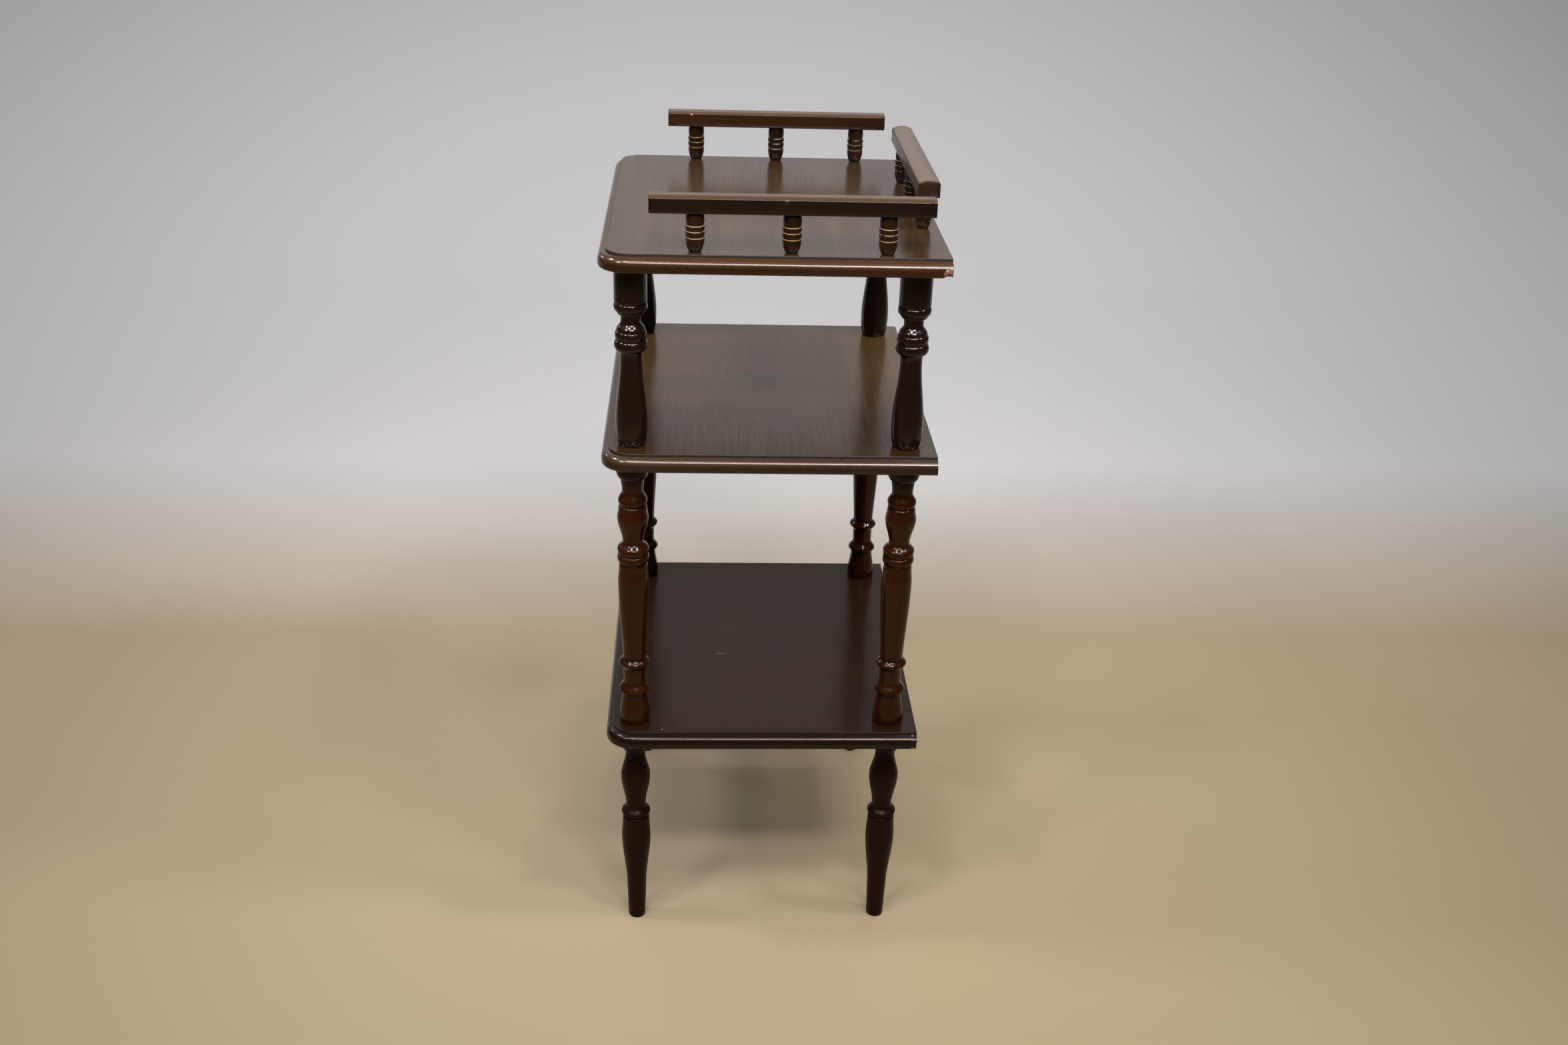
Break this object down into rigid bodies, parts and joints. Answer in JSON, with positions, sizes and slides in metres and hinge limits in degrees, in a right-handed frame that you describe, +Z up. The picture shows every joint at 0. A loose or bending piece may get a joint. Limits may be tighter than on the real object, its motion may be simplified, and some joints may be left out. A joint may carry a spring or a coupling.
{
  "type": "etagere",
  "caption": "Tall narrow stand with moulded shelves on turned posts, tapered turned legs and a low spindle gallery round the top; holds lamps, plants, books or ornaments.",
  "frame": {"origin": "middle of the shelves' plan, on the floor under the feet", "axes": "+Z up, +X to the right-hand side, -Y towards the front, whose edge has the rounded corners; the open-backed side with the straight shelf edge is +Y"},
  "size_m": [0.3476, 0.28, 0.708],
  "materials": {
    "shelf_wood": "mahogany-stained wood under semi-gloss lacquer",
    "turned_wood": "dark mahogany-stained turned wood under gloss lacquer",
    "rail_wood": "mahogany-stained wood under semi-gloss lacquer",
    "spindle_wood": "mahogany-stained turned wood, lacquered, pale lines worn in the grooves",
    "dowel_wood": "plain pale hardwood",
    "stud_steel": "plain zinc-plated steel"
  },
  "bodies": {
    "root": {"bottom_shelf": "shelf_wood", "middle_shelf": "shelf_wood", "top_shelf": "shelf_wood", "leg_front_left": "turned_wood", "leg_front_right": "turned_wood", "leg_back_left": "turned_wood", "leg_back_right": "turned_wood", "lower_post_front_left": "turned_wood", "lower_post_front_right": "turned_wood", "lower_post_back_left": "turned_wood", "lower_post_back_right": "turned_wood", "upper_post_front_left": "turned_wood", "upper_post_front_right": "turned_wood", "upper_post_back_left": "turned_wood", "upper_post_back_right": "turned_wood", "bottom_stud_front_left": "stud_steel", "bottom_stud_front_right": "stud_steel", "bottom_stud_back_left": "stud_steel", "bottom_stud_back_right": "stud_steel", "middle_stud_front_left": "stud_steel", "middle_stud_front_right": "stud_steel", "middle_stud_back_left": "stud_steel", "middle_stud_back_right": "stud_steel", "top_dowel_front_left": "dowel_wood", "top_dowel_front_right": "dowel_wood", "top_dowel_back_left": "dowel_wood", "top_dowel_back_right": "dowel_wood", "gallery_rail_right": "rail_wood", "gallery_rail_left": "rail_wood", "gallery_rail_back": "rail_wood", "gallery_spindle_right_1": "spindle_wood", "gallery_spindle_right_2": "spindle_wood", "gallery_spindle_right_3": "spindle_wood", "gallery_spindle_left_1": "spindle_wood", "gallery_spindle_left_2": "spindle_wood", "gallery_spindle_left_3": "spindle_wood", "gallery_spindle_back_1": "spindle_wood", "gallery_spindle_back_2": "spindle_wood", "gallery_spindle_back_3": "spindle_wood"}
  },
  "joints": []
}
